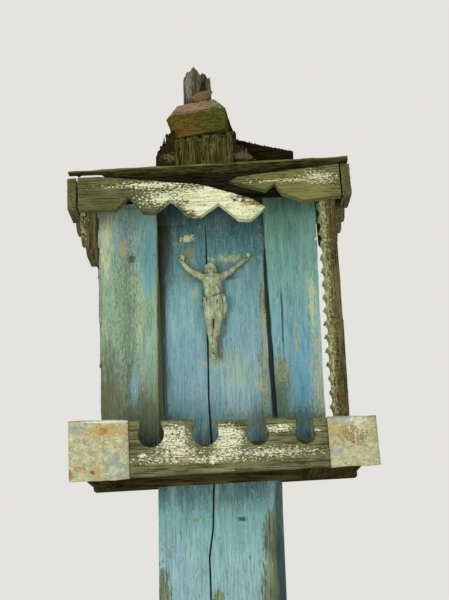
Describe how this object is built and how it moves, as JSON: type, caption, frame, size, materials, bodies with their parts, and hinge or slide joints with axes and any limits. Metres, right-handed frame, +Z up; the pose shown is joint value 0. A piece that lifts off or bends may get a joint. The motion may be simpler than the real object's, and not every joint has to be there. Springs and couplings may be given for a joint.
{
  "type": "wayside shrine",
  "caption": "Weathered wooden wayside shrine: squared post carrying an open box with toothed fascia, low parapet, board roof and a small cast crucified figure.",
  "frame": {"origin": "middle of the post's foot, on the ground", "axes": "+Z up along the post, -Y out of the front of the box, +X to the right as seen from the front"},
  "size_m": [0.6696, 0.416, 2.9872],
  "materials": {
    "post_blue_paint": "light blue paint, weathered, on squared softwood",
    "back_blue_paint": "light blue paint, flaking, on sawn boards",
    "fascia_cream_paint": "cream paint, weathered, on cut boards",
    "parapet_cream_paint": "remains of cream paint on bare grey-brown boards",
    "corner_wood": "dark weathered wood with flakes of cream paint",
    "bare_wood": "bare weathered softwood",
    "rotten_wood": "dark rotten softwood, cracked along the grain",
    "rusty_tin": "thin sheet metal, cream paint with rust",
    "cast_figure": "cast metal, dull grey-green with worn pale paint"
  },
  "bodies": {
    "root": {"post": "post_blue_paint", "cap_block": "rotten_wood", "cross_stub": "rotten_wood", "tin_curl": "rusty_tin", "ridge_board_left": "rotten_wood", "ridge_board_right": "rotten_wood", "lower_back_rail": "bare_wood", "lower_bearer_left": "bare_wood", "lower_bearer_right": "bare_wood", "floor_board_front": "bare_wood", "floor_board_rear": "bare_wood", "parapet_front": "parapet_cream_paint", "parapet_left": "parapet_cream_paint", "parapet_right": "parapet_cream_paint", "tin_corner_left": "rusty_tin", "tin_corner_right": "rusty_tin", "back_board_left": "back_blue_paint", "back_board_right": "back_blue_paint", "corner_post_right": "corner_wood", "corner_post_left_stub": "corner_wood", "upper_back_rail": "bare_wood", "upper_bearer_left": "bare_wood", "upper_bearer_right": "bare_wood", "upper_front_rail": "rotten_wood", "fascia_front_left": "fascia_cream_paint", "fascia_front_right": "fascia_cream_paint", "fascia_left": "fascia_cream_paint", "fascia_right": "fascia_cream_paint", "roof_board_front": "rotten_wood", "roof_board_second": "rotten_wood", "roof_board_third": "rotten_wood", "roof_board_left": "rotten_wood", "roof_board_right": "rotten_wood", "roof_board_rear": "rotten_wood", "corpus": "cast_figure"}
  },
  "joints": []
}
